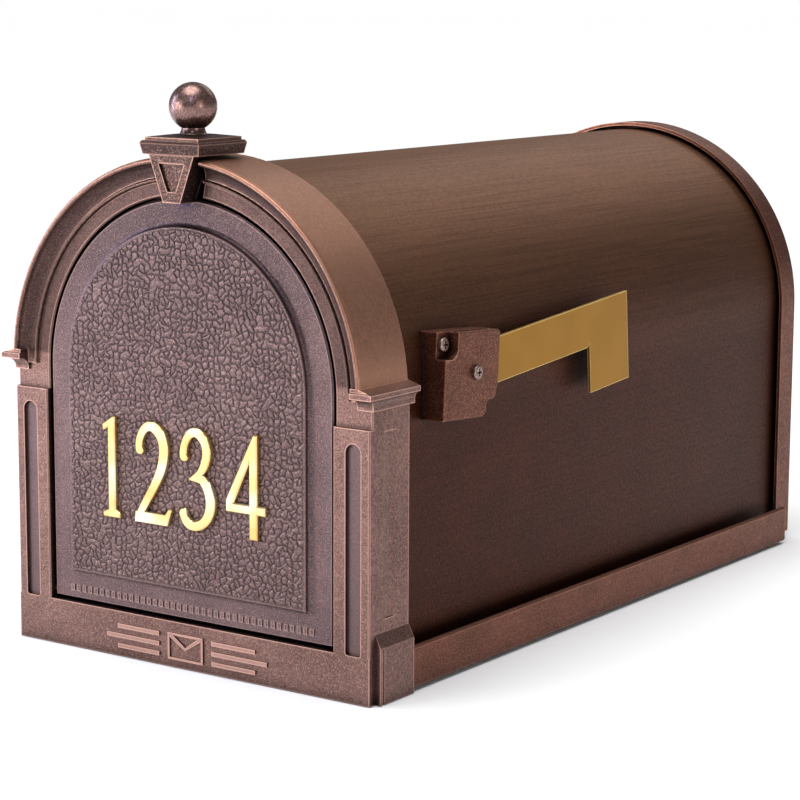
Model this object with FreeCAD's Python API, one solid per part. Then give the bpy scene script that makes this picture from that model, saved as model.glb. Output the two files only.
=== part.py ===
import FreeCAD, Part
import math
import os
from FreeCAD import Vector

# Post-mounted curbside mailbox: a cast arched front with a drop-down door, a sheet
# barrel on a skirted base, a cast rear cap and a carrier flag on the right side.
# All sizes are in millimetres. The model is drawn with x = 0 on the centre line,
# y = 0 on the front face of the sill and z = 0 under the sill. SAVE_ORIGIN then moves
# it to the part frame: the middle of the floor's hole pattern, on its underside.

# Arched front casting
HALF_WIDTH = 139.5
FRAME_DEPTH = 40.0
FRONT_WALL = 14.5
ARCH_Z = 180.5
OPENING_R = 112.8
SILL_TOP = 29.0
STEP_Z = 165.0
UPPER_FACE_Y = 3.0
STOP_R = 107.5
STOP_Y = 12.6
LIP_Y = -6.2
COLLAR_R = 136.6
COLLAR_BACK = 45.5
IMPOST_BOTTOM = 176.0
IMPOST_TOP = 187.5
IMPOST_HALF = 145.0
IMPOST_FRONT = -7.0
PLINTH_HALF = 143.5
PLINTH_FRONT = 6.0
PLINTH_TOP = 34.5
SLOT_X = 127.5
SLOT_HALF = 5.5
SLOT_DEPTH = 2.2
SLOT_TOP = 156.0

# Sheet barrel, base and rear cap
BARREL_R = 128.5
SHEET = 1.5
BARREL_FRONT = 15.2
BARREL_BACK = 558.5
BARREL_BOTTOM = 9.6
FLOOR_Z = 24.0
FLOOR_T = 2.0
FLOOR_BACK = 547.0
RAIL_HALF = 142.0
RAIL_BOTTOM = 2.0
RAIL_TOP = 27.7
REAR_FRONT = 539.5
REAR_BACK = 562.0
REAR_R = 133.8
REAR_BOTTOM = 5.0
MOUNT_Y = 285.0
MOUNT_DX = 150.0
MOUNT_DY = 300.0
MOUNT_HOLE_R = 3.5

# Door
DOOR_R = 110.9
DOOR_BOTTOM = 30.8
DOOR_FRONT = 3.0
DOOR_BACK = 11.0
DOOR_SKIN = 4.0
PANEL_HALF = 93.5
PANEL_BOTTOM = 50.5
PANEL_ARCH_Z = 181.3
PANEL_FRONT = -1.0
COVE_R = 3.0
HINGE_Y = 7.0
HINGE_Z = 34.6
PIN_R = 2.5
RUNNING_GAP = 0.05

# Keystone pull and finial
KEY_FRONT = -9.5
KEY_BACK = 4.4
KEY_BOTTOM = 289.7
KEY_TOP = 318.3
KEY_HALF_BOTTOM = 6.7
KEY_HALF_TOP = 17.5
NOTCH_HALF_BOTTOM = 12.6
NOTCH_HALF_TOP = 19.3
CAP_HALF = 23.0
CAP_FRONT = -11.5
CAP_TOP = 326.5
CAP_Y = CAP_FRONT + CAP_HALF
STEP_TOP = CAP_TOP + 2.0
NECK_Z = CAP_TOP + 3.6
BALL_R = 14.6
BALL_Z = 346.5

# House numbers
DIGIT_Z = 89.7
DIGIT_SIZE = 0.97
DIGIT_T = 3.0
DIGIT_X = (-64.0, -37.2, -1.4, 34.8)
DIGIT_CHAMFER = (0.6, 0.3, 0.4, 0.6)

# Flag and its housing
PIVOT_Y = 103.5
PIVOT_Z = 187.0
HOUSING_X = 144.5
HOUSING_TILT = -3.5
FLAG_TILT = 4.7
FLAG_X = 137.8
FLAG_T = 2.0
FLAG_GAP = 0.4
WASHER_T = 0.3
BOLT_R = 2.5

SAVE_ORIGIN = Vector(0, MOUNT_Y, FLOOR_Z)
X_DIR = Vector(1, 0, 0)
Y_DIR = Vector(0, 1, 0)
Z_DIR = Vector(0, 0, 1)


def save(name, *shapes):
    """Writes one node, moved to the part frame."""
    group = shapes[0] if len(shapes) == 1 else Part.makeCompound(list(shapes))
    group = group.copy()
    group.translate(-SAVE_ORIGIN)
    group.exportStep("parts/%s.step" % name)


def face(place, start, *steps):
    """A flat face. place turns two numbers into a point. A step is the next corner, or
    the middle and the end of an arc."""
    edges = []
    here = place(*start)
    for step in steps + (start,):
        if isinstance(step[0], tuple):
            there = place(*step[1])
            edges.append(Part.Arc(here, place(*step[0]), there).toShape())
        else:
            there = place(*step)
            if here.distanceToPoint(there) < 1e-6:
                continue
            edges.append(Part.LineSegment(here, there).toShape())
        here = there
    return Part.Face(Part.Wire(edges))


def on_xz(y):
    """Places (x, z) pairs on the plane at this y."""
    return lambda x, z: Vector(x, y, z)


def on_yz(x):
    """Places (y, z) pairs on the plane at this x."""
    return lambda y, z: Vector(x, y, z)


def on_xy(z):
    """Places (x, y) pairs on the plane at this z."""
    return lambda x, y: Vector(x, y, z)


def box(x0, x1, y0, y1, z0, z1):
    return Part.makeBox(x1 - x0, y1 - y0, z1 - z0, Vector(x0, y0, z0))


def rod(radius, start, direction, length):
    return Part.makeCylinder(radius, length, start, direction)


def mirrored(shape):
    """The same shape on the other side of the centre line."""
    return shape.mirror(Vector(0, 0, 0), X_DIR)


def join(shapes):
    """One solid out of pieces that meet."""
    whole = shapes[0].fuse(list(shapes[1:]))
    return whole.removeSplitter()


def arch(half, bottom, y0, y1, centre=ARCH_Z):
    """A solid with straight sides and a round head."""
    outline = face(
        on_xz(y0),
        (-half, bottom),
        (half, bottom),
        (half, centre),
        ((0, centre + half), (-half, centre)),
    )
    return outline.extrude(Y_DIR * (y1 - y0))


def screw(seat, direction, length, shank_r, head_r, head_h):
    """A pan-head screw: seat is under its head, direction points to its tip."""
    head = rod(head_r, seat, -direction, head_h)
    rim = [e for e in head.Edges if abs(e.CenterOfMass.sub(seat).Length - head_h) < 0.01]
    head = head.makeFillet(head_h * 0.45, rim[:1])
    return head.fuse(rod(shank_r, seat, direction, length)).removeSplitter()


def cross_recess(seat, direction, head_r, head_h):
    """The cross in a screw's head, to cut away."""
    side = Z_DIR
    across = direction.cross(side)
    arms = []
    for along, thick in ((side, across), (across, side)):
        corner = seat - direction * head_h - along * (head_r * 0.55) - thick * 0.5
        points = [corner, corner + along * (head_r * 1.1)]
        points += [points[1] + thick, corner + thick]
        arm = Part.Face(Part.makePolygon(points + [corner]))
        arms.append(arm.extrude(direction * (head_h * 0.55)))
    return arms[0].fuse(arms[1])


def hex_nut(seat, direction, across_flats, thickness, hole_r):
    """A nut that sits on seat and grows along direction."""
    radius = across_flats / math.sqrt(3)
    side = Z_DIR if abs(direction.z) < 0.5 else X_DIR
    across = direction.cross(side)
    corners = []
    for i in range(7):
        turn = math.radians(60 * i)
        corners.append(seat + side * (radius * math.cos(turn)) + across * (radius * math.sin(turn)))
    nut = Part.Face(Part.makePolygon(corners)).extrude(direction * thickness)
    return nut.cut(rod(hole_r, seat - direction, direction, thickness + 2))


def around(angle, radius, y):
    """A point at this angle from +X on the arch, and the outward direction there."""
    turn = math.radians(angle)
    out = Vector(math.cos(turn), 0, math.sin(turn))
    return Vector(0, y, ARCH_Z) + out * radius, out


# ---- arched front casting --------------------------------------------------------------

def hood():
    """The moulded arch: fascia, bead, hollow moulding, rounded lip and outer collar."""
    hollow = (124.6, 2.2), (133.2, -4.6)
    section = face(
        on_xy(ARCH_Z),
        (OPENING_R, STOP_Y),
        (OPENING_R, UPPER_FACE_Y + 0.8),
        (OPENING_R + 0.8, UPPER_FACE_Y),
        (121.8, UPPER_FACE_Y),
        (122.2, 1.4),
        ((123.2, 0.5), (124.2, 1.4)),
        hollow[0],
        ((130.7, 0.2), hollow[1]),
        ((134.7, LIP_Y), (136.2, -4.7)),
        (COLLAR_R, -3.2),
        (COLLAR_R, COLLAR_BACK - 3.0),
        (COLLAR_R - 2.4, COLLAR_BACK),
        (BARREL_R + 0.5, COLLAR_BACK),
        (BARREL_R + 0.5, FRONT_WALL),
        (STOP_R, FRONT_WALL),
        (STOP_R, STOP_Y),
    )
    return section.revolve(Vector(0, 0, ARCH_Z), -Y_DIR, 180)


def leg(front, z0, z1):
    """A stretch of the right pilaster: a face, an outer wall and the door's stop."""
    section = face(
        on_xy(z0),
        (OPENING_R, STOP_Y),
        (OPENING_R, front + 0.8),
        (OPENING_R + 0.8, front),
        (HALF_WIDTH - 0.8, front),
        (HALF_WIDTH, front + 0.8),
        (HALF_WIDTH, FRAME_DEPTH),
        (BARREL_R + 0.5, FRAME_DEPTH),
        (BARREL_R + 0.5, FRONT_WALL),
        (STOP_R, FRONT_WALL),
        (STOP_R, STOP_Y),
    )
    return section.extrude(Z_DIR * (z1 - z0))


def impost_front(x0, x1):
    """Everything behind the impost's moulded front, from x0 to x1."""
    outline = face(
        on_yz(x0),
        (FRONT_WALL, IMPOST_BOTTOM),
        (1.5, IMPOST_BOTTOM),
        (1.5, IMPOST_BOTTOM + 2.0),
        ((-1.2, IMPOST_BOTTOM + 6.0), (IMPOST_FRONT + 0.6, IMPOST_TOP - 4.0)),
        (IMPOST_FRONT, IMPOST_TOP - 4.0),
        (IMPOST_FRONT, IMPOST_TOP - 0.5),
        (IMPOST_FRONT + 1.0, IMPOST_TOP),
        (IMPOST_FRONT + 1.0, IMPOST_TOP + 3.0),
        (COLLAR_BACK - 2.0, IMPOST_TOP + 3.0),
        (COLLAR_BACK - 2.0, IMPOST_BOTTOM),
    )
    return outline.extrude(X_DIR * (x1 - x0))


def impost():
    """The moulding at the right spring of the arch, mitred round its corner."""
    side = face(
        on_xz(-20),
        (BARREL_R + 1.0, IMPOST_BOTTOM),
        (HALF_WIDTH + 1.5, IMPOST_BOTTOM),
        (HALF_WIDTH + 1.5, IMPOST_BOTTOM + 2.0),
        ((142.0, IMPOST_BOTTOM + 5.8), (IMPOST_HALF - 0.4, IMPOST_TOP - 4.0)),
        (IMPOST_HALF, IMPOST_TOP - 4.0),
        (IMPOST_HALF, IMPOST_TOP - 0.8),
        (COLLAR_R - 1.5, IMPOST_TOP + 2.2),
        (BARREL_R + 1.0, IMPOST_TOP + 2.2),
    )
    block = side.extrude(Y_DIR * 80)
    inside = arch(BARREL_R + 0.5, 0, -20, 80)
    return block.common(impost_front(BARREL_R, IMPOST_HALF + 1)).cut(inside)


def impost_undercut():
    """The space in front of and under the moulding, where the hood's mouldings end."""
    tool = face(
        on_yz(-HALF_WIDTH),
        (-20, IMPOST_BOTTOM - 10.0),
        (UPPER_FACE_Y, IMPOST_BOTTOM - 10.0),
        (UPPER_FACE_Y, IMPOST_BOTTOM),
        (1.5, IMPOST_BOTTOM),
        (1.5, IMPOST_BOTTOM + 2.0),
        ((-1.2, IMPOST_BOTTOM + 6.0), (IMPOST_FRONT + 0.6, IMPOST_TOP - 4.0)),
        (-20, IMPOST_TOP - 4.0),
    )
    return tool.extrude(X_DIR * (2 * HALF_WIDTH))


def plinth():
    """The block at the right pilaster's foot, with a sloped top and a grooved corner."""
    outline = face(
        on_xz(PLINTH_FRONT),
        (BARREL_R + 0.5, 0),
        (PLINTH_HALF, 0),
        (PLINTH_HALF, PLINTH_TOP),
        (HALF_WIDTH, PLINTH_TOP + 8.0),
        (BARREL_R + 0.5, PLINTH_TOP + 8.0),
    )
    block = outline.extrude(Y_DIR * (FRAME_DEPTH + 0.5 - PLINTH_FRONT))
    groove = box(PLINTH_HALF - 0.9, 160, PLINTH_FRONT + 2.6, PLINTH_FRONT + 3.8, -1, PLINTH_TOP - 0.6)
    return block.cut(groove)


def slot_recess():
    """The tall sunk panel in the right pilaster's face, with a round head."""
    left = SLOT_X - SLOT_HALF
    right = SLOT_X + SLOT_HALF
    corner = 1.6
    turn = corner * (1 - math.sqrt(0.5))
    outline = face(
        on_xz(-2),
        (left + corner, SILL_TOP),
        (right - corner, SILL_TOP),
        ((right - turn, SILL_TOP + turn), (right, SILL_TOP + corner)),
        (right, SLOT_TOP - SLOT_HALF),
        ((SLOT_X, SLOT_TOP), (left, SLOT_TOP - SLOT_HALF)),
        (left, SILL_TOP + corner),
        ((left + turn, SILL_TOP + turn), (left + corner, SILL_TOP)),
    )
    return outline.extrude(Y_DIR * (2 + SLOT_DEPTH))


def side_flute():
    """The shallow hollow down the right pilaster's outer side."""
    radius = 25.0
    axis = Vector(HALF_WIDTH + radius - 1.0, 20.5, PLINTH_TOP + 16.0)
    return rod(radius, axis, Z_DIR, 112.0)


def sill_relief():
    """A raised envelope between two groups of plain bars, in place of lettering."""
    raised = 1.1
    mid = SILL_TOP / 2 - 1.0
    half_w, half_h, line = 14.0, 8.5, 1.4
    frame = box(-half_w, half_w, -raised, 0.5, mid - half_h, mid + half_h)
    frame = frame.cut(box(-half_w + line, half_w - line, -2, 1, mid - half_h + line, mid + half_h - line))
    pieces = [frame]
    for side in (-1, 1):
        flap = face(
            on_xz(-raised),
            (side * half_w, mid + half_h),
            (side * (half_w - 2.0), mid + half_h),
            (0, mid + 0.2),
            (0, mid - 1.6),
            (side * half_w, mid + half_h - 1.8),
        )
        pieces.append(flap.extrude(Y_DIR * (raised + 0.5)))
        for row in (-1, 0, 1):
            near = 21.0
            far = 64.0 - 9.0 * abs(row)
            x0, x1 = sorted((side * near, side * far))
            pieces.append(box(x0, x1, -raised, 0.5, mid + row * 6.4 - 1.4, mid + row * 6.4 + 1.4))
    return pieces


def keystone_prism(y0, y1, bottom, top, gap=0.0):
    """The keystone's tapered outline, widened by gap, between two depths."""
    slope = (KEY_HALF_TOP - KEY_HALF_BOTTOM) / (KEY_TOP - KEY_BOTTOM)
    low = KEY_HALF_BOTTOM + slope * (bottom - KEY_BOTTOM) + gap
    high = KEY_HALF_BOTTOM + slope * (top - KEY_BOTTOM) + gap
    outline = face(on_xz(y0), (-low, bottom), (low, bottom), (high, top), (-high, top))
    return outline.extrude(Y_DIR * (y1 - y0))


def keystone_notch():
    """The gap in the hood that the keystone closes into."""
    outline = face(
        on_xz(-20),
        (-NOTCH_HALF_BOTTOM, KEY_BOTTOM - 5.0),
        (NOTCH_HALF_BOTTOM, KEY_BOTTOM - 5.0),
        (NOTCH_HALF_TOP, KEY_TOP + 1.0),
        (-NOTCH_HALF_TOP, KEY_TOP + 1.0),
    )
    return outline.extrude(Y_DIR * (STOP_Y + 20))


def pin_hole(radius):
    """A bore through both hinge points, from jamb to jamb."""
    return rod(radius, Vector(-121.0, HINGE_Y, HINGE_Z), X_DIR, 242.0)


def front_frame(holes):
    right = [leg(0, 0, STEP_Z), leg(UPPER_FACE_Y, STEP_Z, ARCH_Z), plinth()]
    shapes = [hood().cut(impost_undercut())]
    shapes += right + [mirrored(s) for s in right]
    shapes += [impost(), mirrored(impost())]
    shapes.append(box(-HALF_WIDTH, HALF_WIDTH, 0, FRONT_WALL, 0, SILL_TOP))
    shapes += sill_relief()
    frame = join(shapes)
    cuts = [slot_recess(), mirrored(slot_recess()), side_flute(), mirrored(side_flute())]
    cuts.append(keystone_notch())
    cuts.append(pin_hole(PIN_R).cut(box(-DOOR_R, DOOR_R, 0, 20, 0, 60)))
    frame = frame.cut(cuts + holes)
    return frame.removeSplitter()


# ---- barrel, base and rear cap -----------------------------------------------------------

def barrel_shell(holes):
    outer = arch(BARREL_R, BARREL_BOTTOM, BARREL_FRONT, BARREL_BACK)
    inner = arch(BARREL_R - SHEET, BARREL_BOTTOM - 5, BARREL_FRONT - 5, BARREL_BACK + 5)
    return outer.cut([inner] + holes)


def floor_pan(holes):
    """The folded floor: a flat plate with a flange down each side and mounting holes."""
    half = BARREL_R - SHEET - 0.4
    top = FLOOR_Z + FLOOR_T
    outer = box(-half, half, BARREL_FRONT, FLOOR_BACK, BARREL_BOTTOM + 0.6, top)
    under = box(-half + FLOOR_T, half - FLOOR_T, BARREL_FRONT - 1, FLOOR_BACK + 1, 0, FLOOR_Z)
    drills = []
    for x in (-MOUNT_DX / 2, MOUNT_DX / 2):
        for y in (MOUNT_Y - MOUNT_DY / 2, MOUNT_Y + MOUNT_DY / 2):
            drills.append(rod(MOUNT_HOLE_R, Vector(x, y, FLOOR_Z - 5), Z_DIR, 20))
    return outer.cut([under] + drills + holes)


def base_rail(holes):
    """The right skirt rail: a channel whose outer wall stands clear of the barrel."""
    inner = BARREL_R + 0.1
    outline = face(
        on_xz(FRAME_DEPTH + 0.6),
        (inner, RAIL_BOTTOM),
        (RAIL_HALF - 0.8, RAIL_BOTTOM),
        (RAIL_HALF, RAIL_BOTTOM + 0.8),
        (RAIL_HALF, RAIL_TOP - 1.2),
        (RAIL_HALF - 1.2, RAIL_TOP),
        (RAIL_HALF - 3.0, RAIL_TOP),
        (RAIL_HALF - 3.0, RAIL_BOTTOM + 3.0),
        (inner + 2.0, RAIL_BOTTOM + 3.0),
        (inner + 2.0, RAIL_BOTTOM + 17.0),
        (inner, RAIL_BOTTOM + 17.0),
    )
    return outline.extrude(Y_DIR * (REAR_FRONT - 0.2 - FRAME_DEPTH - 0.6)).cut(holes)


def rear_cap(holes):
    """The cast end cap: a rim round the outside of the barrel, a back wall and an inner
    ring that the barrel is screwed to."""
    body = arch(REAR_R, REAR_BOTTOM, REAR_FRONT, REAR_BACK)
    rear_edges = [e for e in body.Edges if e.BoundBox.YMin > REAR_BACK - 0.01]
    body = body.makeFillet(2.0, rear_edges)
    body = body.cut(arch(REAR_R - 2.5, REAR_BOTTOM - 5, REAR_FRONT - 5, REAR_BACK - 3.0))
    ring_r = BARREL_R - SHEET - 0.2
    ring = arch(ring_r, BARREL_BOTTOM + 20, FLOOR_BACK + 1.0, REAR_BACK - 2.0)
    ring = ring.cut(arch(ring_r - 3.0, 0, FLOOR_BACK - 5, REAR_BACK + 5))
    foot = box(-REAR_R + 3, REAR_R - 3, FLOOR_BACK + 1.0, REAR_BACK - 2.0, REAR_BOTTOM, REAR_BOTTOM + 2.4)
    return join([body, ring, foot]).cut(holes)


# ---- door ----------------------------------------------------------------------------------

def door_dentils():
    """A row of plain raised blocks along the door's bottom border."""
    count, pitch, wide, high = 40, 4.9, 2.9, 4.2
    bottom = DOOR_BOTTOM + 5.2
    row = []
    for i in range(count):
        x = (i - (count - 1) / 2) * pitch
        row.append(box(x - wide / 2, x + wide / 2, DOOR_FRONT - 0.6, DOOR_FRONT + 0.5, bottom, bottom + high))
    return row


def on_panel_foot(bounds):
    """True for an edge where the raised panel meets the door's border."""
    flat = abs(bounds.YMin - DOOR_FRONT) < 0.01 and abs(bounds.YMax - DOOR_FRONT) < 0.01
    reach = max(-bounds.XMin, bounds.XMax)
    return flat and abs(reach - PANEL_HALF) < 0.1 and bounds.ZMin > PANEL_BOTTOM - 0.1


def door_panel(holes):
    """The cast door: a skin with a rim behind it, a raised panel and a tab for the pull."""
    plate = arch(DOOR_R, DOOR_BOTTOM, DOOR_FRONT, DOOR_BACK)
    front_edges = [e for e in plate.Edges if e.BoundBox.YMax < DOOR_FRONT + 0.01]
    back_foot = [e for e in plate.Edges if e.BoundBox.YMin > DOOR_BACK - 0.01 and e.BoundBox.ZMax < DOOR_BOTTOM + 1]
    plate = plate.makeChamfer(1.0, front_edges + back_foot)
    panel = arch(PANEL_HALF, PANEL_BOTTOM, PANEL_FRONT, DOOR_FRONT + 0.5, PANEL_ARCH_Z)
    raised_edges = [e for e in panel.Edges if e.BoundBox.YMax < PANEL_FRONT + 0.01]
    panel = panel.makeFillet(0.8, raised_edges)
    tab = keystone_prism(KEY_BACK, DOOR_BACK - 0.2, KEY_BOTTOM - 4.0, 313.0)
    door = join([plate, panel, tab] + door_dentils())
    foot = [e for e in door.Edges if on_panel_foot(e.BoundBox)]
    door = door.makeFillet(COVE_R, foot)
    rim = 6.0
    hollow = arch(DOOR_R - rim, DOOR_BOTTOM + 16.0, DOOR_FRONT + DOOR_SKIN, DOOR_BACK + 5)
    deep = arch(PANEL_HALF - DOOR_SKIN, PANEL_BOTTOM + DOOR_SKIN, PANEL_FRONT + DOOR_SKIN, DOOR_BACK, PANEL_ARCH_Z)
    boss = box(-16, 16, DOOR_FRONT, DOOR_BACK - 0.4, 262.0, 290.0)
    hollow = hollow.fuse(deep).cut(boss)
    bores = pin_hole(PIN_R + RUNNING_GAP).cut(box(-102.0, 102.0, 0, 20, 0, 60))
    seat = keystone_prism(-20, KEY_BACK, KEY_BOTTOM - 0.2, KEY_TOP, 0.2)
    door = door.cut([hollow, bores, seat] + holes)
    return door.removeSplitter()


def keystone_pull(holes):
    """The keystone with its square capital, stepped plate and low pyramid, in one casting."""
    stone = keystone_prism(KEY_FRONT, KEY_BACK, KEY_BOTTOM, KEY_TOP)
    low_z, high_z = KEY_BOTTOM + 6.6, KEY_TOP - 5.2
    sunk = face(on_xz(KEY_FRONT - 1), (-3.2, low_z), (3.2, low_z), (9.9, high_z), (-9.9, high_z))
    stone = stone.cut(sunk.extrude(Y_DIR * 2.8))
    low = square_at(CAP_HALF - 1.4, KEY_TOP)
    high = square_at(CAP_HALF, CAP_TOP - 1.6)
    slab = Part.makeLoft([low, high], True)
    top = Part.makeLoft([high, square_at(CAP_HALF - 1.0, CAP_TOP)], True)
    step = box(-20.6, 20.6, CAP_Y - 20.6, CAP_Y + 20.6, CAP_TOP, STEP_TOP)
    roof = Part.makeLoft([square_at(20.6, STEP_TOP), square_at(8.6, NECK_Z)], True)
    return join([stone, slab, top, step, roof]).cut(holes)


def square_at(half, z):
    """A square wire round the capital's centre."""
    corners = [(-half, -half), (half, -half), (half, half), (-half, half), (-half, -half)]
    return Part.makePolygon([Vector(x, CAP_Y + y, z) for x, y in corners])


def finial_ball(holes):
    """The turned ball on its short waisted neck."""
    low_r, high_r = 8.4, 7.1
    join_z = BALL_Z - math.sqrt(BALL_R ** 2 - high_r ** 2)
    outline = face(
        on_yz(0),
        (CAP_Y, NECK_Z),
        (CAP_Y + low_r, NECK_Z),
        ((CAP_Y + 7.45, (NECK_Z + join_z) / 2), (CAP_Y + high_r, join_z)),
        ((CAP_Y + BALL_R, BALL_Z), (CAP_Y, BALL_Z + BALL_R)),
    )
    return outline.revolve(Vector(0, CAP_Y, 0), Z_DIR, 360).cut(holes)


# ---- house numbers ------------------------------------------------------------------------

def stroke(points, widths):
    """A tapered brush stroke in (x, z): a face between two smooth edges with round ends."""
    points = [(x, z * DIGIT_SIZE) for x, z in points]
    left, right = [], []
    count = len(points)
    for i in range(count):
        before = points[max(i - 1, 0)]
        after = points[min(i + 1, count - 1)]
        dx, dz = after[0] - before[0], after[1] - before[1]
        size = math.hypot(dx, dz)
        nx, nz = -dz / size * widths[i] / 2, dx / size * widths[i] / 2
        left.append(Vector(points[i][0] + nx, 0, points[i][1] + nz))
        right.append(Vector(points[i][0] - nx, 0, points[i][1] - nz))
    edges = []
    for line in (left, right):
        curve = Part.BSplineCurve()
        curve.interpolate(line)
        edges.append(curve.toShape())
    for end, inner in ((0, 1), (-1, -2)):
        tip = Vector(points[end][0], 0, points[end][1])
        back = Vector(points[inner][0], 0, points[inner][1])
        out = (tip - back).normalize() * (widths[end] / 2)
        edges.append(Part.Arc(left[end], tip + out, right[end]).toShape())
    return Part.Face(Part.Wire(Part.__sortEdges__(edges)))


def digit_faces(digit):
    """The faces that make up one numeral, in (x, z) from its lower left corner."""
    def flat(x, z):
        return Vector(x, 0, z * DIGIT_SIZE)

    if digit == 1:
        return [face(flat, (0.8, 0), (14.6, 0), (14.6, 3.6), (11.2, 5.4), (11.2, 66.5),
                     (9.6, 66.5), (0.6, 60.6), (1.4, 56.4), (5.2, 58.6), (5.2, 5.4), (0.8, 3.6))]
    if digit == 2:
        bowl = stroke(
            [(4.6, 47.5), (4.8, 54.5), (12.0, 63.0), (21.4, 58.2), (23.8, 46.0), (16.6, 26.0), (4.0, 5.0)],
            [6.4, 5.4, 6.0, 7.4, 7.2, 6.0, 5.0])
        foot = face(flat, (0, 0), (26.2, 0), (30.2, 11.2), (27.4, 11.2), (24.6, 7.4), (0.6, 7.4))
        return [bowl, foot]
    if digit == 3:
        top = stroke(
            [(4.2, 47.0), (4.6, 54.5), (12.0, 63.0), (20.2, 58.0), (21.6, 48.0), (15.4, 36.6)],
            [6.4, 5.4, 6.0, 6.6, 6.4, 4.4])
        bottom = stroke(
            [(14.4, 35.4), (22.6, 28.2), (24.6, 17.0), (18.0, 5.2), (9.6, 3.2), (3.6, 10.2)],
            [4.4, 7.2, 7.4, 6.2, 6.2, 7.0])
        nib = face(flat, (7.0, 32.4), (17.4, 30.8), (19.0, 37.0), (15.6, 39.6))
        return [top, bottom, nib]
    stem = face(flat, (18.4, 0), (24.6, 0), (24.6, 66.5), (21.6, 66.5), (18.4, 57.4))
    bar = face(flat, (0.4, 16.0), (30.6, 16.0), (30.6, 22.0), (0.4, 22.0))
    slant = face(flat, (0.4, 20.0), (0.4, 23.6), (21.6, 66.5), (24.0, 62.0), (18.4, 48.0), (5.6, 20.0))
    return [stem, bar, slant]


DIGIT_STUDS = {
    1: ((8.2, 12.0), (8.2, 52.0)),
    2: ((12.0, 3.6), (22.6, 50.0)),
    3: ((23.8, 18.0), (12.0, 62.6)),
    4: ((21.5, 8.0), (21.5, 52.0)),
}
STUD_R = 1.5


def stud_places(digit):
    """The two stud centres of one numeral, on the panel's front."""
    left = DIGIT_X[digit - 1]
    return [Vector(left + x, PANEL_FRONT, DIGIT_Z + z * DIGIT_SIZE) for x, z in DIGIT_STUDS[digit]]


def number(digit):
    """A cast numeral with a bevelled front edge and two studs behind it."""
    bodies = [f.extrude(Y_DIR * DIGIT_T) for f in digit_faces(digit)]
    body = bodies[0] if len(bodies) == 1 else join(bodies)
    front = [e for e in body.Edges if e.BoundBox.YMax < 0.01]
    body = body.makeChamfer(DIGIT_CHAMFER[digit - 1], front)
    body.translate(Vector(DIGIT_X[digit - 1], PANEL_FRONT - DIGIT_T, DIGIT_Z))
    studs = [rod(STUD_R, place - Y_DIR, Y_DIR, 9.0) for place in stud_places(digit)]
    return join([body] + studs)


# ---- flag ------------------------------------------------------------------------------------

def turned(shape, degrees):
    """Turns a shape about the flag's pivot. A positive angle lifts its rear end."""
    shape = shape.copy()
    shape.rotate(Vector(0, PIVOT_Y, PIVOT_Z), X_DIR, degrees)
    return shape


def from_pivot(y, z):
    """Places (y, z) pairs measured from the flag's pivot."""
    return Vector(0, PIVOT_Y + y, PIVOT_Z + z)


def flag_housing(holes):
    """The cast bracket: a base on the barrel, an outer cheek and a slot for the flag."""
    outline = face(
        from_pivot,
        (-33.0, -28.2),
        (8.0, -28.2),
        ((12.0, -26.8), (13.8, -23.2)),
        ((14.4, -19.6), (18.2, -18.0)),
        ((22.4, -16.8), (24.0, -12.6)),
        (26.0, -8.0),
        (26.0, 22.4),
        ((25.2, 24.4), (23.2, 25.2)),
        (-33.0, 25.2),
    )
    outline.translate(Vector(HOUSING_X, 0, 0))
    body = outline.extrude(X_DIR * -30)
    rim = [e for e in body.Edges if e.BoundBox.XMin > HOUSING_X - 0.01]
    body = body.makeFillet(1.0, rim)
    scoop = face(
        from_pivot,
        (-40.0, 9.0),
        (-26.5, 9.0),
        ((-22.3, 10.7), (-20.5, 15.0)),
        (-20.5, 40.0),
        (-40.0, 40.0),
    )
    scoop.translate(Vector(HOUSING_X - 7.5, 0, 0))
    slot = face(from_pivot, (-18.6, -17.5), (40.0, -17.5), (40.0, 40.0), (-18.6, 40.0))
    slot.translate(Vector(FLAG_X - FLAG_GAP, 0, 0))
    body = body.cut([scoop.extrude(X_DIR * 20), slot.extrude(X_DIR * (FLAG_T + 2 * FLAG_GAP))])
    body = turned(body, HOUSING_TILT)
    return body.cut([arch(BARREL_R + 0.05, 0, 0, 300)] + holes)


def flag_arm():
    """The flat brass flag: a round hub end, a long arm and a square tail below its tip."""
    outline = face(
        from_pivot,
        (0, -13.5),
        (139.0, -13.5),
        ((141.4, -12.4), (142.4, -10.0)),
        (142.4, -44.4),
        (192.0, -44.4),
        (192.0, 15.1),
        (0, 15.1),
        ((-14.3, 0.8), (0, -13.5)),
    )
    outline.translate(Vector(FLAG_X, 0, 0))
    plate = outline.extrude(X_DIR * FLAG_T)
    plate = turned(plate, FLAG_TILT)
    bore = rod(BOLT_R + RUNNING_GAP, Vector(FLAG_X - 5, PIVOT_Y, PIVOT_Z), X_DIR, 12)
    return plate.cut(bore)


def flag_washers():
    """A thin washer on each side of the flag's hub."""
    rings = []
    for x in (FLAG_X - FLAG_GAP, FLAG_X + FLAG_T + FLAG_GAP - WASHER_T):
        start = Vector(x, PIVOT_Y, PIVOT_Z)
        rings.append(rod(6.0, start, X_DIR, WASHER_T).cut(rod(BOLT_R, start - X_DIR, X_DIR, 3)))
    return rings


# ---- fasteners and small parts ---------------------------------------------------------------

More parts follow.
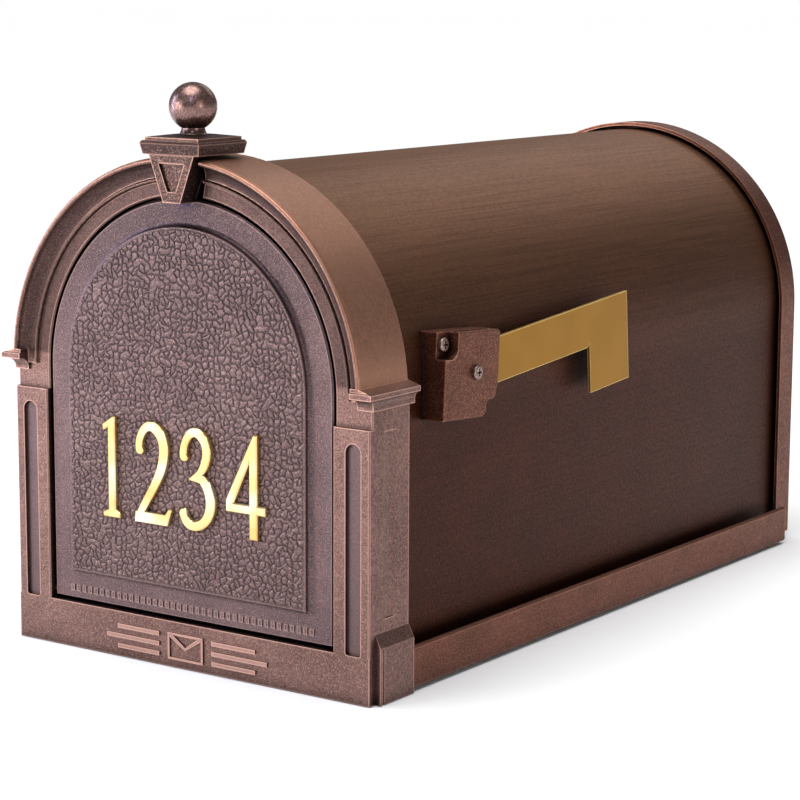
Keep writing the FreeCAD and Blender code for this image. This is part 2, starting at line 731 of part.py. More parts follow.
def build():
    os.makedirs("parts", exist_ok=True)
    inner_r = BARREL_R - SHEET

    frame_screws = []
    for angle in (35, 90, 145):
        seat, out = around(angle, inner_r - 0.1, 30.0)
        frame_screws.append(screw(seat, out, 7.0, 2.0, 4.0, 2.4))
    for side in (-1, 1):
        for z in (70.0, 130.0):
            seat = Vector(side * inner_r, 30.0, z)
            frame_screws.append(screw(seat, X_DIR * side, 7.0, 2.0, 4.0, 2.4))
    frame_holes = frame_screws

    cap_screws = []
    ring_in = inner_r - 3.2
    for angle in (35, 90, 145):
        seat, out = around(angle, ring_in - 0.1, 553.0)
        cap_screws.append(screw(seat, out, 4.8, 1.8, 3.6, 2.2))
    for side in (-1, 1):
        for z in (80.0, 150.0):
            seat = Vector(side * ring_in, 553.0, z)
            cap_screws.append(screw(seat, X_DIR * side, 4.8, 1.8, 3.6, 2.2))

    rail_screws = {-1: [], 1: []}
    flange_in = inner_r - 0.4 - FLOOR_T
    for side in (-1, 1):
        for y in (100.0, MOUNT_Y, 470.0):
            seat = Vector(side * flange_in, y, 15.0)
            rail_screws[side].append(screw(seat, X_DIR * side, 7.4, 2.0, 4.0, 2.4))
    all_rail_screws = rail_screws[-1] + rail_screws[1]

    bolt_seat = Vector(HOUSING_X, PIVOT_Y, PIVOT_Z)
    pivot_bolt = screw(bolt_seat, -X_DIR, 24.5, BOLT_R, 4.4, 2.6)
    pivot_bolt = pivot_bolt.cut(cross_recess(bolt_seat, -X_DIR, 4.4, 2.6))
    mount_seat = Vector(HOUSING_X - 7.5, PIVOT_Y - 27.0, PIVOT_Z + 17.6)
    mount_screw = screw(mount_seat, -X_DIR, 18.0, 2.2, 4.4, 2.6)
    mount_screw = mount_screw.cut(cross_recess(mount_seat, -X_DIR, 4.4, 2.6))
    mount_screw = turned(mount_screw, HOUSING_TILT)
    flag_bores = [rod(BOLT_R, bolt_seat, -X_DIR, 40)]
    flag_bores.append(turned(rod(2.2, mount_seat, -X_DIR, 40), HOUSING_TILT))
    pivot_nut = hex_nut(Vector(126.2, PIVOT_Y, PIVOT_Z), -X_DIR, 8.0, 4.0, BOLT_R)
    mount_nut = hex_nut(Vector(123.2, mount_seat.y, mount_seat.z), -X_DIR, 7.0, 3.4, 2.2)
    mount_nut = turned(mount_nut, HOUSING_TILT)

    key_seats = [Vector(0, DOOR_BACK - 0.2, z) for z in (296.0, 306.0)]
    key_screws = []
    for seat in key_seats:
        cone = Part.makeCone(3.6, 1.8, 2.0, seat, -Y_DIR)
        key_screws.append(cone.fuse(rod(1.8, seat, -Y_DIR, 14.0)).removeSplitter())
    stud_base = CAP_TOP - 5.0
    finial_stud = rod(2.5, Vector(0, CAP_Y, stud_base), Z_DIR, BALL_Z - stud_base)

    stud_holes = []
    number_nuts = []
    for digit in (1, 2, 3, 4):
        for place in stud_places(digit):
            stud_holes.append(rod(STUD_R, place - Y_DIR, Y_DIR, 12.0))
            seat = Vector(place.x, PANEL_FRONT + DOOR_SKIN, place.z)
            number_nuts.append(hex_nut(seat, Y_DIR, 6.0, 2.4, STUD_R))

    strike_y = DOOR_BACK - 0.4
    strike_screws = []
    for x in (-9.0, 9.0):
        seat = Vector(x, strike_y + 1.2, 273.0)
        cone = Part.makeCone(2.8, 1.5, 1.2, seat, -Y_DIR)
        strike_screws.append(cone.fuse(rod(1.5, seat, -Y_DIR, 6.0)).removeSplitter())
    strike = box(-14, 14, strike_y, strike_y + 1.2, 266.0, 280.0).cut(strike_screws)

    holder = box(-18, 18, FRONT_WALL, FRONT_WALL + 3.0, 264.0, 305.0)
    holder = join([holder, box(-18, 18, STOP_Y, FRONT_WALL + 14.0, 264.0, 284.0)])
    magnet = box(-13, 13, STOP_Y - 0.4, STOP_Y + 11.4, 268.0, 280.0)
    holder = holder.cut(magnet)
    holder_screws = []
    for x in (-14.2, 14.2):
        seat = Vector(x, FRONT_WALL + 3.0, 299.0)
        holder_screws.append(screw(seat, -Y_DIR, 4.8, 1.6, 3.2, 2.0))
    holder = holder.cut(holder_screws)

    bumpers = []
    for side in (-1, 1):
        for angle, drop in ((0, 90.0), (40, 0.0)):
            place, out = around(angle, 109.95, DOOR_BACK + 0.05)
            place = Vector(side * place.x, place.y, place.z - drop)
            bumpers.append(rod(2.4, place, Y_DIR, STOP_Y - DOOR_BACK - 0.05))

    pins = pin_hole(PIN_R).cut(box(-102.0, 102.0, 0, 20, 0, 60)).Solids

    save("front_frame", front_frame(frame_holes + holder_screws))
    save("barrel_shell", barrel_shell(frame_holes + cap_screws + all_rail_screws + flag_bores))
    save("floor_pan", floor_pan(all_rail_screws))
    save("base_rail_right", base_rail(rail_screws[1]))
    save("base_rail_left", mirrored(base_rail(rail_screws[1])))
    save("rear_cap", rear_cap(cap_screws))
    save("frame_screws", *frame_screws)
    save("rear_cap_screws", *cap_screws)
    save("rail_screws", *all_rail_screws)
    save("hinge_pins", *pins)
    save("magnet_holder", holder)
    save("latch_magnet", magnet)
    save("magnet_screws", *holder_screws)
    save("door_bumpers", *bumpers)
    save("flag_housing", flag_housing(flag_bores))
    save("flag_mount_screw", mount_screw)
    save("flag_mount_nut", mount_nut)
    save("flag_pivot_bolt", pivot_bolt)
    save("flag_pivot_nut", pivot_nut)
    save("flag_washers", *flag_washers())
    save("flag_arm", flag_arm())
    save("door_panel", door_panel(stud_holes + key_screws + strike_screws))
    save("keystone_pull", keystone_pull(key_screws + [finial_stud]))
    save("keystone_screws", *key_screws)
    save("finial_ball", finial_ball([finial_stud]))
    save("finial_stud", finial_stud)
    for digit in (1, 2, 3, 4):
        save("number_%d" % digit, number(digit))
    save("number_nuts", *number_nuts)
    save("strike_plate", strike)
    save("strike_screws", *strike_screws)


build()
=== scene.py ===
import math

import bpy
import numpy as np
from mathutils import Matrix, Vector


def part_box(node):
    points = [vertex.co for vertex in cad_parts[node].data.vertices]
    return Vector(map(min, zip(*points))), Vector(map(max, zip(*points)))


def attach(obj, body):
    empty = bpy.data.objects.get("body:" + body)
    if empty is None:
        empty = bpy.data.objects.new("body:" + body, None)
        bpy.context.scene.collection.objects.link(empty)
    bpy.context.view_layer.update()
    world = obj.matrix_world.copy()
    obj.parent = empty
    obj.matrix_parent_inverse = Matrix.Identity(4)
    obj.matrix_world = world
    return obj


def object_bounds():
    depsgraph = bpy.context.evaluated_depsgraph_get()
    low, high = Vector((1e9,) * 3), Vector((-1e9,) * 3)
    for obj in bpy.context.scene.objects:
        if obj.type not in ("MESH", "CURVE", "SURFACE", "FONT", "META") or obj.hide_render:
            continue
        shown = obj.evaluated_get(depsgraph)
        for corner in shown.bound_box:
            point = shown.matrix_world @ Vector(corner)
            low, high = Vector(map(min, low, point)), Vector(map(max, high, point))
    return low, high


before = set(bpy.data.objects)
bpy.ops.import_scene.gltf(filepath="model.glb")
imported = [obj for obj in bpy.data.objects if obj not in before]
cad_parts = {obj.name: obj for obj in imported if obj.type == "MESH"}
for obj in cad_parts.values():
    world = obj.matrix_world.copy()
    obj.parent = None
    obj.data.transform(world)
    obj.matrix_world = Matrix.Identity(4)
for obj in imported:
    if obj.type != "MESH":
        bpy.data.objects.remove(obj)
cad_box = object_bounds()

MM = 0.001
ARCH_Z = 156.5 * MM
SLOT_X = 127.5 * MM
SILL_FACE = -285.0 * MM

EDGE_SAMPLES = 6
EDGE_BEND = (0.004, 0.09)
EDGE_OPEN = (0.5, 0.8)
EDGE_REACH = 3.0


# ---- node helpers ------------------------------------------------------------------------

class Nodes:
    """A short way to write a material's node tree."""

    def __init__(self, name):
        self.material = bpy.data.materials.new(name)
        self.material.use_nodes = True
        self.tree = self.material.node_tree
        self.shader = self.tree.nodes["Principled BSDF"]
        self.coords = self.tree.nodes.new("ShaderNodeTexCoord").outputs["Object"]

    def link(self, source, socket):
        if isinstance(source, (int, float, tuple, list)):
            socket.default_value = source
        else:
            self.tree.links.new(source, socket)

    def set(self, name, source):
        self.link(source, self.shader.inputs[name])

    def math(self, operation, a, b=0.0, clamp=False):
        node = self.tree.nodes.new("ShaderNodeMath")
        node.operation = operation
        node.use_clamp = clamp
        self.link(a, node.inputs[0])
        self.link(b, node.inputs[1])
        return node.outputs[0]

    def mix(self, factor, a, b, blend="MIX"):
        node = self.tree.nodes.new("ShaderNodeMix")
        node.data_type = "RGBA"
        node.blend_type = blend
        self.link(factor, node.inputs["Factor"])
        self.link(colour(a), node.inputs[6])
        self.link(colour(b), node.inputs[7])
        return node.outputs[2]

    def stretched(self, scale):
        """Object coordinates with their own scale along each axis."""
        node = self.tree.nodes.new("ShaderNodeMapping")
        node.inputs["Scale"].default_value = scale
        self.link(self.coords, node.inputs["Vector"])
        return node.outputs[0]

    def noise(self, scale, detail=4.0, rough=0.55, coords=None, distortion=0.0):
        node = self.tree.nodes.new("ShaderNodeTexNoise")
        node.inputs["Scale"].default_value = scale
        node.inputs["Detail"].default_value = detail
        node.inputs["Roughness"].default_value = rough
        node.inputs["Distortion"].default_value = distortion
        self.link(self.coords if coords is None else coords, node.inputs["Vector"])
        return node.outputs["Fac"]

    def range(self, value, low, high, to_low=0.0, to_high=1.0):
        """Maps low..high to to_low..to_high, smoothly, and clamps outside. low may be above high."""
        node = self.tree.nodes.new("ShaderNodeMapRange")
        node.interpolation_type = "SMOOTHSTEP"
        self.link(value, node.inputs["Value"])
        sockets = ("From Min", "From Max", "To Min", "To Max")
        for socket, number in zip(sockets, (low, high, to_low, to_high)):
            node.inputs[socket].default_value = number
        return node.outputs[0]

    def place(self):
        """The x, y and z of object coordinates."""
        node = self.tree.nodes.new("ShaderNodeSeparateXYZ")
        self.link(self.coords, node.inputs[0])
        return node.outputs

    def open_edges(self, radius):
        """1 on outside edges within this radius, 0 on flats and in corners."""
        bevel = self.tree.nodes.new("ShaderNodeBevel")
        bevel.samples = EDGE_SAMPLES
        bevel.inputs["Radius"].default_value = radius
        geometry = self.tree.nodes.new("ShaderNodeNewGeometry")
        dot = self.tree.nodes.new("ShaderNodeVectorMath")
        dot.operation = "DOT_PRODUCT"
        self.link(bevel.outputs[0], dot.inputs[0])
        self.link(geometry.outputs["Normal"], dot.inputs[1])
        bent = self.math("SUBTRACT", 1.0, dot.outputs["Value"])
        near = self.range(bent, *EDGE_BEND)
        return self.math("MULTIPLY", near, self.range(self.shelter(radius * EDGE_REACH), *EDGE_OPEN))

    def shelter(self, distance):
        """1 in the open, falling to 0 in corners and grooves narrower than distance."""
        node = self.tree.nodes.new("ShaderNodeAmbientOcclusion")
        node.samples = EDGE_SAMPLES
        node.inputs["Distance"].default_value = distance
        return node.outputs["AO"]

    def bump(self, height, strength, distance):
        node = self.tree.nodes.new("ShaderNodeBump")
        node.inputs["Strength"].default_value = strength
        node.inputs["Distance"].default_value = distance
        self.link(height, node.inputs["Height"])
        self.set("Normal", node.outputs[0])


def colour(value):
    """A colour socket, or an RGB triple of 0-255 screen values turned linear."""
    if not isinstance(value, tuple) or len(value) == 4:
        return value
    linear = [c / 255 / 12.92 if c <= 10 else ((c / 255 + 0.055) / 1.055) ** 2.4 for c in value]
    return (*linear, 1.0)


# ---- materials ------------------------------------------------------------------------------

OVER_SPRING = (6 * MM, 9 * MM)
# Span and strength of the painted light towards the top: a highlight or a shade, by the crown tone.
TOP_LIGHTING_SPAN = (120 * MM, 285 * MM)
TOP_LIGHTING_STRENGTH = 0.62
# Reach and strength of the painted shade in corners and hollows.
CORNER_SHADE_REACH = 12 * MM
CORNER_SHADE_STRENGTH = 0.9
ZONE_STRENGTH = 0.6
RUB_WIDTH = 1.5 * MM
GROOVE_TONE = (24, 16, 17)
COPPER_METALLIC = 0.9
COPPER_SPECULAR = 0.3
COPPER_BUMP = (0.35, 0.2 * MM)
BRASS_METALLIC = 0.85
BRASS_EDGE = 0.9 * MM
BRASS_EDGE_STRENGTH = 0.9
# Painted shade tone and reach for the corners of fasteners and the catch.
SCREW_SHADE = (16, 11, 10)
SCREW_SHADE_REACH = 2 * MM


def arch_radius(n):
    """Distance from the arch's axis, and height over its spring line."""
    x, _, z = n.place()
    high = n.math("SUBTRACT", z, ARCH_Z)
    squares = n.math("ADD", n.math("POWER", x, 2.0), n.math("POWER", high, 2.0))
    return n.math("SQRT", squares), high


def outer_collar(n):
    """1 on the outside of the arched hood's collar, 0 elsewhere."""
    radius, high = arch_radius(n)
    outside = n.range(radius, 133.8 * MM, 135.6 * MM)
    return n.math("MULTIPLY", outside, n.range(high, *OVER_SPRING))


def hood_lip_shade(n):
    """1 on the mouldings inside the hood's lip, 0 elsewhere: where painted shade under the lip goes.
    """
    radius, high = arch_radius(n)
    within = n.range(radius, 131.5 * MM, 133.0 * MM, 1.0, 0.0)
    return n.math("MULTIPLY", within, n.range(high, *OVER_SPRING))


def sunk_slots(n):
    """1 inside the outline of the two tall slots of the pilasters, 0 elsewhere."""
    x, y, z = n.place()
    aside = n.math("ABSOLUTE", n.math("SUBTRACT", n.math("ABSOLUTE", x), SLOT_X))
    wide = n.range(aside, 4.6 * MM, 5.4 * MM, 1.0, 0.0)
    tall = n.math("MULTIPLY", n.range(z, 5.2 * MM, 6.4 * MM), n.range(z, 129 * MM, 132 * MM, 1.0, 0.0))
    front = n.range(y, SILL_FACE + 1.2 * MM, SILL_FACE + 1.9 * MM)
    near = n.range(y, SILL_FACE + 3 * MM, SILL_FACE + 4 * MM, 1.0, 0.0)
    return n.math("MULTIPLY", n.math("MULTIPLY", wide, tall), n.math("MULTIPLY", front, near))


def sill_badge(n):
    """0.7 on what stands proud of the sill's face low down, 0 elsewhere."""
    _, y, z = n.place()
    proud = n.range(y, SILL_FACE - 0.9 * MM, SILL_FACE - 0.3 * MM, 1.0, 0.0)
    return n.math("MULTIPLY", proud, n.range(z, 4 * MM, 6 * MM, 0.7, 0.0))


def antique_copper(name, base, dark, worn, grain_axes=(1, 1, 1), grain=0.2, wear=1.0, shine=0.42,
                   groove=None, crown=None, fleck_and_shade_tone=(20, 12, 11), zones=()):
    """Dark copper patina that is rubbed bright on its edges, with painted shade in its corners and
    hollows.
    crown is the tone that the upper part fades to, painted light: a highlight or a shade towards the
    top.
    The tone for dark flecks also serves as the painted shade of corners and hollows. zones
    are pairs of a mask function and the tone it brings in."""
    n = Nodes(name)
    cloud = n.noise(26.0, 3.0, 0.5)
    mottle = n.noise(420.0, 3.0, 0.6)
    speck = n.noise(1050.0, 3.0, 0.6)
    streak = n.noise(1.0, 4.0, 0.6, coords=n.stretched(grain_axes))
    tone = n.mix(n.range(cloud, 0.25, 0.75, 0.35, 1.0), dark, base)
    tone = n.mix(n.range(mottle, 0.42, 0.68, 0.0, 0.38), tone, dark)
    tone = n.mix(n.range(speck, 0.44, 0.74, 0.0, 0.30), tone, worn)
    # Painted light: towards the top the tone fades to the crown tone, a painted highlight or painted
    # shade.
    if crown:
        tone = n.mix(n.range(n.place()[2], *TOP_LIGHTING_SPAN, 0.0, TOP_LIGHTING_STRENGTH), tone, crown)
    tone = n.mix(n.range(speck, 0.52, 0.72, 0.0, 0.2), tone, worn)
    tone = n.mix(n.range(speck, 0.48, 0.30, 0.0, 0.45), tone, fleck_and_shade_tone)
    tone = n.mix(n.range(streak, 0.38, 0.68, 0.0, grain), tone, dark)
    # Painted shade: corners and hollows are darkened towards the fleck tone.
    corner_shade = n.range(n.shelter(CORNER_SHADE_REACH), 0.25, 0.92, CORNER_SHADE_STRENGTH, 0.0)
    tone = n.mix(corner_shade, tone, fleck_and_shade_tone)
    for mask, shade in zones:
        tone = n.mix(n.math("MULTIPLY", mask(n), ZONE_STRENGTH), tone, shade)
    rub = n.math("MULTIPLY", n.open_edges(RUB_WIDTH), n.range(speck, 0.30, 0.60, 1.0, 0.6))
    rub = n.math("MULTIPLY", rub, wear)
    tone = n.mix(rub, tone, worn)
    if groove:
        line = n.tree.nodes.new("ShaderNodeAttribute")
        line.attribute_name = groove
        tone = n.mix(line.outputs["Fac"], tone, GROOVE_TONE)
    n.set("Base Color", tone)
    n.set("Metallic", COPPER_METALLIC)
    n.set("Specular IOR Level", COPPER_SPECULAR)
    n.set("Roughness", n.range(mottle, 0.3, 0.7, shine - 0.06, shine + 0.08))
    height = n.math("ADD", n.math("MULTIPLY", speck, 0.7), n.math("MULTIPLY", mottle, 0.6))
    n.bump(height, *COPPER_BUMP)
    return n.material


def brass(name, base, shade, bright, rough, grain_axes, edge, cloudy=1.0):
    """Lacquered brass with a fine grain, blotches of a lighter tone as painted highlights, and painted
    light on its edges: painted shade or a painted highlight by the edge tone.
    """
    n = Nodes(name)
    cloud = n.noise(38.0, 1.0)
    streak = n.noise(1.0, 4.0, 0.6, coords=n.stretched(grain_axes))
    fleck = n.noise(1100.0, 3.0, 0.6)
    tone = n.mix(n.range(cloud, 0.3, 0.62, 1.0 - cloudy, 1.0), shade, base)
    # Blotches of the lighter tone: painted highlights. The streaks below are the metal's grain.
    tone = n.mix(n.range(cloud, 0.48, 0.7, 0.0, 0.7 * cloudy), tone, bright)
    tone = n.mix(n.range(streak, 0.45, 0.7, 0.0, 0.14), tone, bright)
    tone = n.mix(n.range(fleck, 0.48, 0.72, 0.0, 0.25), tone, shade)
    # Painted light along the edges: painted shade on the numbers, a painted highlight on the flag.
    tone = n.mix(n.math("MULTIPLY", n.open_edges(BRASS_EDGE), BRASS_EDGE_STRENGTH), tone, edge)
    n.set("Base Color", tone)
    n.set("Metallic", BRASS_METALLIC)
    n.set("Roughness", n.range(streak, 0.3, 0.7, rough, rough + 0.05))
    n.bump(n.math("ADD", fleck, streak), 0.06, 0.05 * MM)
    return n.material


def plain_metal(name, base, shade, rough, metallic=1.0):
    """Plated or dark metal with fine scratches and painted shade in its corners, for fasteners and the
    catch.
    """
    n = Nodes(name)
    fleck = n.noise(900.0, 4.0, 0.65)
    scratch = n.noise(1.0, 3.0, 0.6, coords=n.stretched((2500, 300, 2500)))
    tone = n.mix(n.range(fleck, 0.35, 0.7), shade, base)
    # Painted shade: corners are darkened towards the screw shade tone.
    sheltered = n.math("SUBTRACT", 1.0, n.range(n.shelter(SCREW_SHADE_REACH), 0.2, 0.8))
    tone = n.mix(sheltered, tone, SCREW_SHADE)
    n.set("Base Color", tone)
    n.set("Metallic", metallic)
    n.set("Roughness", n.range(scratch, 0.3, 0.7, rough, rough + 0.15))
    n.bump(n.math("ADD", fleck, scratch), 0.2, 0.12 * MM)
    return n.material


def dull(name, base, shade, rough):
    """Moulded rubber or plastic with a fine matte grain."""
    n = Nodes(name)
    grain = n.noise(1600.0, 3.0)
    cloud = n.noise(90.0, 3.0)
    tone = n.mix(n.range(cloud, 0.3, 0.7), shade, base)
    tone = n.mix(n.math("MULTIPLY", n.range(grain, 0.5, 0.7), 0.3), tone, base)
    n.set("Base Color", tone)
    n.set("Roughness", n.range(grain, 0.3, 0.7, rough, rough + 0.12))
    n.bump(grain, 0.3, 0.1 * MM)
    return n.material


# The tone for the hood's inner mouldings is painted shade under the lip.
CAST = antique_copper("cast_copper", (132, 101, 94), (92, 68, 63), (218, 172, 156),
                      zones=((outer_collar, (188, 136, 108)), (hood_lip_shade, (36, 28, 30)),
                             (sunk_slots, (94, 82, 88)), (sill_badge, (206, 164, 150))))
# A darker copy of the cast copper: painted shade from the hood and cap over the keystone.
SHADED_KEYSTONE = antique_copper("keystone_shaded_copper", (76, 57, 54), (50, 37, 35), (196, 152, 136))
BALL = antique_copper("ball_copper", (150, 116, 110), (98, 74, 70), (214, 180, 168),
                      wear=0.7, shine=0.29)
# The door's crown tone is painted shade under the hood; its blue corner tone is a painted reflection
# of cool light in the coves, over painted shade.
DOOR_CAST = antique_copper("door_copper", (114, 92, 91), (84, 68, 69), (196, 160, 150), wear=0.9,
                           crown=(24, 19, 24), fleck_and_shade_tone=(20, 19, 58))
# The relief's crown tone is painted shade under the hood.
RELIEF = antique_copper("door_relief_copper", (118, 95, 93), (84, 66, 65), (196, 164, 154), wear=0.25,
                        groove="groove", crown=(88, 71, 71))
# The barrel's crown tone is a painted highlight along its top.
BARREL = antique_copper("barrel_copper", (68, 29, 16), (46, 20, 12), (132, 82, 56), (900, 9, 900),
                        grain=0.35, wear=0.7, shine=0.46, crown=(164, 118, 88))
RAIL = antique_copper("rail_copper", (118, 70, 54), (80, 46, 35), (200, 146, 122), (20, 20, 700),
                      grain=0.25)
FLOOR = antique_copper("floor_copper", (74, 58, 52), (52, 42, 38), (110, 84, 72), (300, 8, 300),
                       grain=0.4, wear=0.5)
# The numbers' lighter tone gives painted cream highlights and their edge tone painted shade; the
# flag's edge tone is a painted highlight.
NUMBER = brass("number_brass", (250, 222, 160), (232, 190, 116), (255, 248, 222), 0.20,
               (300, 300, 900), (170, 116, 40))
FLAG = brass("flag_brass", (162, 116, 36), (138, 96, 26), (176, 132, 52), 0.42,
             (900, 40, 900), (250, 224, 150), cloudy=0.15)
SCREW = plain_metal("screw_steel", (178, 158, 148), (120, 100, 92), 0.3)
STEEL = plain_metal("strike_steel", (150, 146, 142), (100, 96, 94), 0.35)
MAGNET = plain_metal("magnet_ferrite", (60, 60, 64), (38, 38, 42), 0.6, 0.3)
PLASTIC = dull("holder_plastic", (34, 33, 33), (22, 21, 21), 0.45)
RUBBER = dull("bumper_rubber", (30, 29, 29), (18, 18, 18), 0.7)

# Every node that isn't listed here is a screw, nut, pin, stud, bolt or washer and gets SCREW.
LOOKS = {
    "front_frame": CAST,
    "rear_cap": RAIL,
    "flag_housing": RAIL,
    "keystone_pull": SHADED_KEYSTONE,
    "finial_ball": BALL,
    "door_panel": DOOR_CAST,
    "barrel_shell": BARREL,
    "base_rail_right": RAIL,
    "base_rail_left": RAIL,
    "floor_pan": FLOOR,
    "flag_arm": FLAG,
    "number_1": NUMBER,
    "number_2": NUMBER,
    "number_3": NUMBER,
    "number_4": NUMBER,
    "latch_magnet": MAGNET,
    "magnet_holder": PLASTIC,
    "door_bumpers": RUBBER,
    "strike_plate": STEEL,
}


def paint_frame():
    for name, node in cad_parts.items():
        look = LOOKS.get(name, SCREW)
        node.data.materials.clear()
        node.data.materials.append(look)


# ---- the door's leather-like relief --------------------------------------------------------

PANEL_HALF = 93.5 * MM
PANEL_FOOT = 50.5 * MM
PANEL_SPRING = 181.3 * MM
PANEL_MARGIN = 1.1 * MM
DOOR_FOOT = 30.8 * MM
CELL = 4.2 * MM
GROOVE = 0.72 * MM
RELIEF_HEIGHT = 0.62 * MM
SINK = 0.06 * MM
RELIEF_STEP = 0.5 * MM
CROWN_HALF = 0.05 * MM
CELL_BEND = 0.13
CELL_JITTER = 0.40
JOINED_WITHIN = 0.06
GROOVE_CORE = 0.12
GROOVE_SLOPE = 0.62
CELL_SHOULDER = 0.42
RIM_FADE = 1.4 * MM
RELIEF_SEED = 11


def relief_rows(lift):
    """(z, half width) of each row of the relief's grid, from the foot to the crown."""
    low = PANEL_FOOT + PANEL_MARGIN
    radius = PANEL_HALF - PANEL_MARGIN
    straight = int((PANEL_SPRING - low) / RELIEF_STEP)
    rows = [(low + (PANEL_SPRING - low) * i / straight, radius) for i in range(straight)]
    turns = int(radius * math.pi / 2 / RELIEF_STEP)
    for i in range(turns + 1):
        angle = math.pi / 2 * i / turns
        half = max(radius * math.cos(angle), CROWN_HALF)
        rows.append((PANEL_SPRING + radius * math.sin(angle), half))
    return [(z + lift, half) for z, half in rows]


def cell_borders(x, z, rng):
    """Distance to the nearest border between irregular cells, and the cell's own number.
    Two cells whose numbers are close are joined, so that some cells come out larger."""
    bend = CELL_BEND * CELL
    wx = x + bend * (np.sin(z / CELL * 2.1 + 1.3) + 0.6 * np.sin((x + z) / CELL * 3.7))
    wz = z + bend * (np.sin(x / CELL * 1.9 + 0.4) + 0.6 * np.sin((x - z) / CELL * 4.3))
    across = 2 * int(np.abs(x).max() / CELL) + 10
    up = 2 * int(np.abs(z).max() / CELL) + 10
    jitter = rng.uniform(-CELL_JITTER, CELL_JITTER, (across, up, 2))
    own = rng.uniform(0.0, 1.0, (across, up))
    ci = np.floor(wx / CELL).astype(int) + across // 2
    cj = np.floor(wz / CELL).astype(int) + up // 2
    best = [np.full(x.shape, 1e9), np.full(x.shape, 1e9)]
    place = [np.zeros(x.shape + (2,)), np.zeros(x.shape + (2,))]
    value = [np.zeros(x.shape), np.zeros(x.shape)]
    for di in range(-2, 3):
        for dj in range(-2, 3):
            i, j = ci + di, cj + dj
            px = (i - across // 2 + 0.5 + jitter[i, j, 0]) * CELL
            pz = (j - up // 2 + 0.5 + jitter[i, j, 1]) * CELL
            far = np.hypot(wx - px, wz - pz)
            point = np.stack([px, pz], -1)
            first = far < best[0]
            second = ~first & (far < best[1])
            best[1] = np.where(first, best[0], np.where(second, far, best[1]))
            later = np.where(second[..., None], point, place[1])
            place[1] = np.where(first[..., None], place[0], later)
            value[1] = np.where(first, value[0], np.where(second, own[i, j], value[1]))
            best[0] = np.where(first, far, best[0])
            place[0] = np.where(first[..., None], point, place[0])
            value[0] = np.where(first, own[i, j], value[0])
    apart = np.maximum(np.linalg.norm(place[0] - place[1], axis=-1), 1e-6)
    border = (best[1] ** 2 - best[0] ** 2) / (2 * apart)
    joined = np.abs(value[0] - value[1]) < JOINED_WITHIN
    return np.where(joined, border + 0.5 * GROOVE, border), value[0]


def smooth(t):
    """0 to 1 as t goes from 0 to 1, level at both ends."""
    t = np.clip(t, 0.0, 1.0)
    return t * t * (3.0 - 2.0 * t)


def door_relief():
    """The pebbled field on the door's raised panel, as real cells with grooves between."""
    low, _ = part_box("door_panel")
    face_y = low.y
    lift = low.z - DOOR_FOOT
    rows = relief_rows(lift)
    columns = int(2 * PANEL_HALF / RELIEF_STEP)
    u = np.linspace(-1.0, 1.0, columns + 1)
    z = np.array([r[0] for r in rows])[:, None] * np.ones_like(u)[None, :]
    half = np.array([r[1] for r in rows])[:, None]
    x = half * u[None, :]
    border, own = cell_borders(x, z - z.mean(), np.random.default_rng(RELIEF_SEED))
    groove = 1.0 - smooth((border - GROOVE_CORE * GROOVE) / (GROOVE_SLOPE * GROOVE))
    crown = smooth(border / (CELL_SHOULDER * CELL))
    spring = PANEL_SPRING + lift
    radius = PANEL_HALF - PANEL_MARGIN
    out = np.where(z > spring, radius - np.hypot(x, z - spring), radius - np.abs(x))
    inside = np.minimum(out, z - (PANEL_FOOT + PANEL_MARGIN + lift))
    fade = smooth(inside / RIM_FADE)
    height = (1.0 - groove) * (0.55 + 0.35 * crown + 0.25 * own) * RELIEF_HEIGHT * fade - SINK
    y = face_y - height
    points = np.stack([x, y, z], -1).reshape(-1, 3)
    wide = columns + 1
    start = (np.arange(len(rows) - 1)[:, None] * wide + np.arange(columns)[None, :]).reshape(-1)
    quads = np.stack([start, start + 1, start + wide + 1, start + wide], -1)
    mesh = bpy.data.meshes.new("door_relief")
    mesh.from_pydata(points.tolist(), [], quads.tolist())
    mesh.polygons.foreach_set("use_smooth", [True] * len(mesh.polygons))
    line = mesh.attributes.new("groove", "FLOAT", "POINT")
    line.data.foreach_set("value", (groove * fade).reshape(-1).astype(np.float32))
    mesh.materials.append(RELIEF)
    obj = bpy.data.objects.new("door_relief", mesh)
    bpy.context.scene.collection.objects.link(obj)
    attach(obj, "door")


# ---- stage, lights and camera -----------------------------------------------------------------

CAMERA_AZIMUTH = math.radians(34.99)
CAMERA_ELEVATION = math.radians(9.59)
CAMERA_ROLL = math.radians(0.27)
CAMERA_PLACE = (0.960, -1.427, 0.397)
CAMERA_LENS = 111.5
SENSOR_WIDTH = 36.0
WORLD_LIGHT = 0.2
FLOOR_SIZE = 60.0
FLOOR_DROP = 0.5 * MM
FLOOR_TONE = (0.94, 0.94, 0.94, 1)


def make_stage():
    """A pale floor under the part, so wide that no horizon shows."""
    low, _ = cad_box
    bpy.ops.mesh.primitive_plane_add(size=FLOOR_SIZE, location=(0, 0, low.z - FLOOR_DROP))
    floor = bpy.context.object
    floor.name = "studio_floor"
    material = bpy.data.materials.new("studio_floor")
    material.use_nodes = True
    shader = material.node_tree.nodes["Principled BSDF"]
    shader.inputs["Base Color"].default_value = FLOOR_TONE
    shader.inputs["Roughness"].default_value = 0.9
    floor.data.materials.append(material)


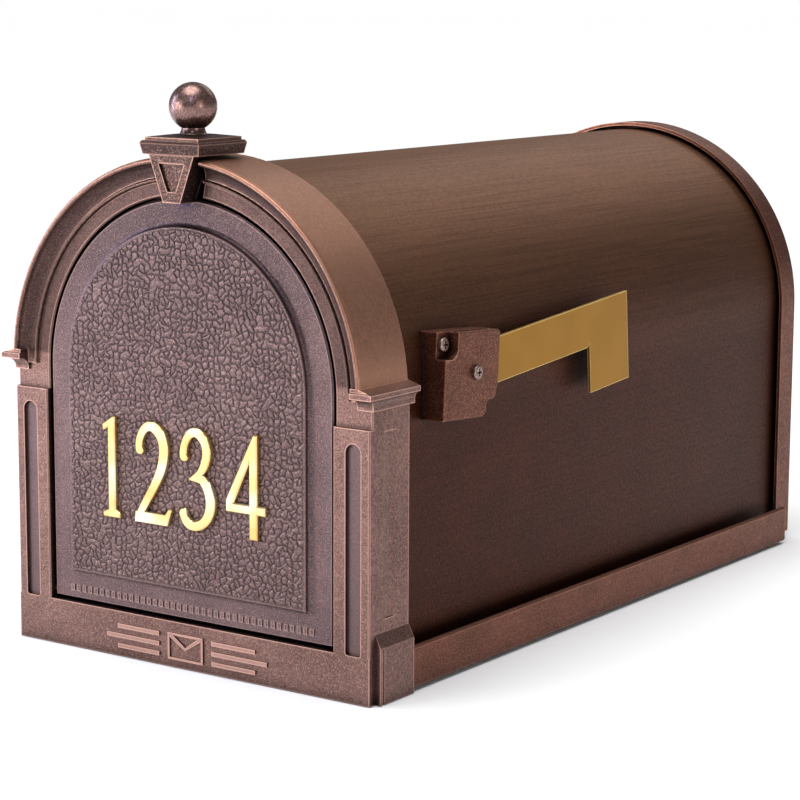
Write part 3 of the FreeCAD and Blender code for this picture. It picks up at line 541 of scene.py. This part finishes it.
def make_world():
    """A white backdrop for the camera with a dimmer, greyer light from all round."""
    world = bpy.data.worlds.new("studio")
    world.use_nodes = True
    tree = world.node_tree
    back = tree.nodes["Background"]
    path = tree.nodes.new("ShaderNodeLightPath")
    seen = tree.nodes.new("ShaderNodeMapRange")
    seen.inputs["To Min"].default_value = WORLD_LIGHT
    seen.inputs["To Max"].default_value = 1.0
    tree.links.new(path.outputs["Is Camera Ray"], seen.inputs["Value"])
    tree.links.new(seen.outputs[0], back.inputs["Strength"])
    back.inputs["Color"].default_value = (1.0, 1.0, 1.0, 1.0)
    bpy.context.scene.world = world


def sun(name, aim, power, spread):
    """A broad distant light that shines along aim."""
    data = bpy.data.lights.new(name, "SUN")
    data.energy = power
    data.angle = math.radians(spread)
    lamp = bpy.data.objects.new(name, data)
    lamp.rotation_euler = Vector(aim).to_track_quat("-Z", "Y").to_euler()
    bpy.context.scene.collection.objects.link(lamp)


def area_light(name, place, target, size, power, tint=(1, 1, 1)):
    data = bpy.data.lights.new(name, "AREA")
    data.shape = "RECTANGLE"
    data.size, data.size_y = size
    data.energy = power
    data.color = tint
    lamp = bpy.data.objects.new(name, data)
    lamp.location = place
    lamp.visible_camera = False
    aim = Vector(target) - Vector(place)
    lamp.rotation_euler = aim.to_track_quat("-Z", "Y").to_euler()
    bpy.context.scene.collection.objects.link(lamp)


def make_lights():
    sun("overhead", (0.04, 0.12, -1.0), 2.9, 50)
    area_light("key_left", (-1.3, -2.0, 0.5), (0, -0.2, 0.1), (1.4, 0.8), 22)
    area_light("back_top", (-0.2, 2.3, 1.9), (0, 0.1, 0.25), (2.0, 1.2), 7, (1.0, 0.97, 0.92))
    area_light("right_fill", (2.2, -0.9, 0.7), (0.1, 0.0, 0.1), (0.9, 0.9), 9, (1.0, 0.92, 0.86))
    area_light("cool_front", (1.0, -1.9, 1.7), (0, -0.28, 0.2), (0.35, 0.35), 6, (0.6, 0.72, 1.0))
    area_light("cool_strip", (-1.5, -0.8, 0.5), (0, -0.28, 0.15), (0.25, 1.2), 13, (0.6, 0.7, 1.0))


def make_camera():
    """The camera fitted to the photo."""
    data = bpy.data.cameras.new("camera")
    data.lens = CAMERA_LENS
    data.sensor_width = SENSOR_WIDTH
    data.clip_start, data.clip_end = 0.05, 50.0
    camera = bpy.data.objects.new("camera", data)
    right = Vector((math.cos(CAMERA_AZIMUTH), math.sin(CAMERA_AZIMUTH), 0))
    back = Vector((
        math.sin(CAMERA_AZIMUTH) * math.cos(CAMERA_ELEVATION),
        -math.cos(CAMERA_AZIMUTH) * math.cos(CAMERA_ELEVATION),
        math.sin(CAMERA_ELEVATION),
    ))
    up = back.cross(right)
    rolled = right * math.cos(CAMERA_ROLL) + up * math.sin(CAMERA_ROLL)
    lifted = up * math.cos(CAMERA_ROLL) - right * math.sin(CAMERA_ROLL)
    turn = Matrix((rolled, lifted, back)).transposed().to_4x4()
    camera.matrix_world = Matrix.Translation(CAMERA_PLACE) @ turn
    bpy.context.scene.collection.objects.link(camera)
    bpy.context.scene.camera = camera


paint_frame()
door_relief()
make_stage()
make_world()
make_lights()
make_camera()
bpy.context.scene.view_settings.view_transform = "Standard"
